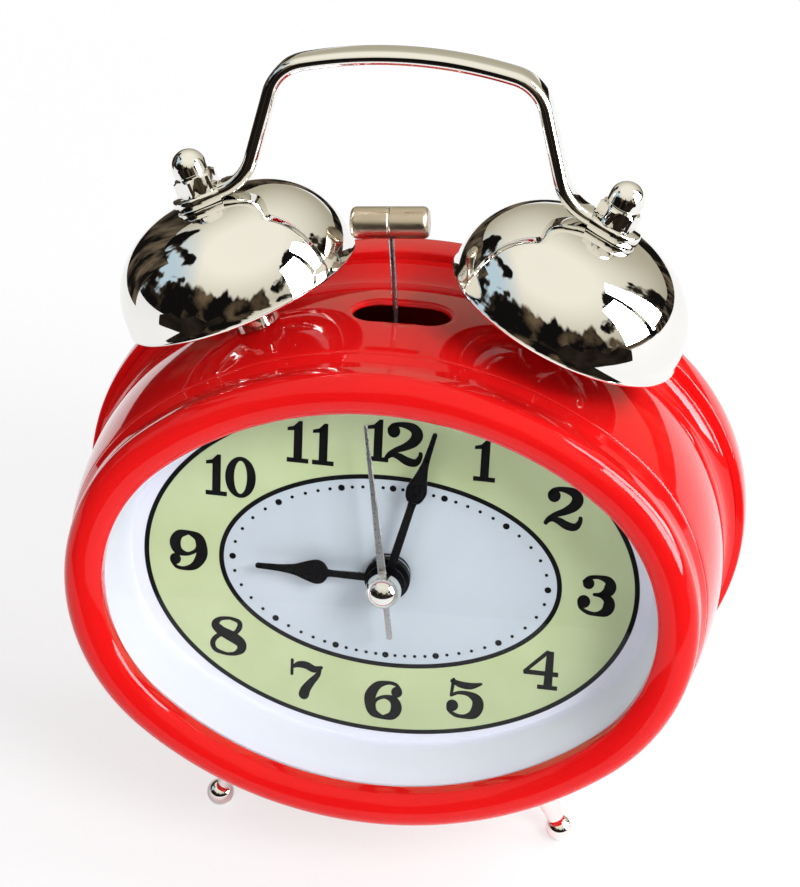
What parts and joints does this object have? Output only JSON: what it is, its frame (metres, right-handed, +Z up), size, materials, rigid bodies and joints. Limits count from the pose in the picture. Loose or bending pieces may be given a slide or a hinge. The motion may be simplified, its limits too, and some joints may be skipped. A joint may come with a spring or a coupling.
{
  "type": "twin bell alarm clock",
  "caption": "Oval twin bell alarm clock with a carrying handle, a striking hammer between the bells, ball feet and a quartz movement.",
  "frame": {"origin": "centre of the bounding box in plan, on the plane the clock stands on", "axes": "+X to the right seen from the front, +Y from the dial towards the back, +Z up"},
  "size_m": [0.1276, 0.0776, 0.1503],
  "materials": {
    "red_case": "high gloss red moulding",
    "clear_lens": "clear, flat",
    "dial_card": "printed, satin",
    "white_trim": "satin white",
    "chrome": "polished plating",
    "bright_steel": "zinc plated",
    "black_hand": "satin black",
    "silver_hand": "satin",
    "black_plastic": "fine matt",
    "brass_pipe": "turned",
    "copper_wire": "enamelled copper",
    "battery_sleeve": "satin sleeve"
  },
  "bodies": {
    "case": {"case_shell": "red_case", "bezel": "red_case", "lens": "clear_lens", "dial": "dial_card", "dial_surround": "white_trim", "back_cover": "red_case", "battery": "battery_sleeve", "positive_contact": "bright_steel", "negative_contact": "bright_steel", "case_screws": "bright_steel", "movement": "black_plastic", "handle": "chrome", "striker_frame": "bright_steel", "pivot_pin": "bright_steel", "coil_core": "bright_steel", "coil_bobbin": "black_plastic", "coil_winding": "copper_wire", "bell_left": "chrome", "bell_post_left": "bright_steel", "bell_spacer_left": "bright_steel", "cap_nut_left": "chrome", "lock_nut_left": "bright_steel", "foot_left": "chrome", "bell_right": "chrome", "bell_post_right": "bright_steel", "bell_spacer_right": "bright_steel", "cap_nut_right": "chrome", "lock_nut_right": "bright_steel", "foot_right": "chrome"},
    "hour_hand_body": {"hour_hand": "black_hand", "hour_pipe": "black_plastic"},
    "minute_hand_body": {"minute_hand": "black_hand", "minute_pipe": "brass_pipe"},
    "second_hand_body": {"second_hand": "silver_hand", "second_hand_cap": "chrome", "second_shaft": "bright_steel"},
    "alarm_hand_body": {"alarm_hand": "silver_hand", "alarm_pipe": "black_plastic"},
    "time_knob_body": {"time_knob": "black_plastic"},
    "alarm_knob_body": {"alarm_knob": "black_plastic"},
    "alarm_switch_body": {"alarm_switch": "black_plastic"},
    "battery_door_body": {"battery_door": "red_case"},
    "hammer_body": {"hammer_head": "chrome", "hammer_arm": "bright_steel", "hammer_lever": "bright_steel"}
  },
  "joints": [
    {"name": "time_knob_turn", "type": "hinge", "parent": "case", "child": "time_knob_body", "pos_m": [0.013, -0.00878, 0.06433], "axis": [0, 0.9609, -0.2767], "continuous": true},
    {"name": "minute_hand_turn", "type": "hinge", "parent": "case", "child": "minute_hand_body", "pos_m": [0, -0.01044, 0.05857], "axis": [0, 0.9609, -0.2767], "continuous": true},
    {"name": "hour_hand_turn", "type": "hinge", "parent": "case", "child": "hour_hand_body", "pos_m": [0, -0.01044, 0.05857], "axis": [0, 0.9609, -0.2767], "continuous": true},
    {"name": "second_hand_turn", "type": "hinge", "parent": "case", "child": "second_hand_body", "pos_m": [0, -0.01044, 0.05857], "axis": [0, 0.9609, -0.2767], "continuous": true},
    {"name": "alarm_knob_turn", "type": "hinge", "parent": "case", "child": "alarm_knob_body", "pos_m": [-0.013, -0.00878, 0.06433], "axis": [0, 0.9609, -0.2767], "continuous": true},
    {"name": "alarm_hand_turn", "type": "hinge", "parent": "case", "child": "alarm_hand_body", "pos_m": [0, -0.01044, 0.05857], "axis": [0, 0.9609, -0.2767], "continuous": true},
    {"name": "alarm_switch_slide", "type": "slide", "parent": "case", "child": "alarm_switch_body", "axis": [1, 0, 0], "range_m": [0, 0.004]},
    {"name": "battery_door_open", "type": "hinge", "parent": "case", "child": "battery_door_body", "pos_m": [0, 0.0125, 0.01263], "axis": [-1, 0, 0], "range_deg": [0, 100]},
    {"name": "hammer_swing", "type": "hinge", "parent": "case", "child": "hammer_body", "pos_m": [0, 0.00598, 0.08954], "axis": [0, 0.9609, -0.2767], "range_deg": [-1.9, 11.1], "stiffness_Nm_per_rad": 0.01}
  ],
  "couplings": [
    {"joint": "minute_hand_turn", "follows": "time_knob_turn", "ratio": -1},
    {"joint": "hour_hand_turn", "follows": "time_knob_turn", "ratio": -0.083333},
    {"joint": "alarm_hand_turn", "follows": "alarm_knob_turn", "ratio": -1}
  ]
}
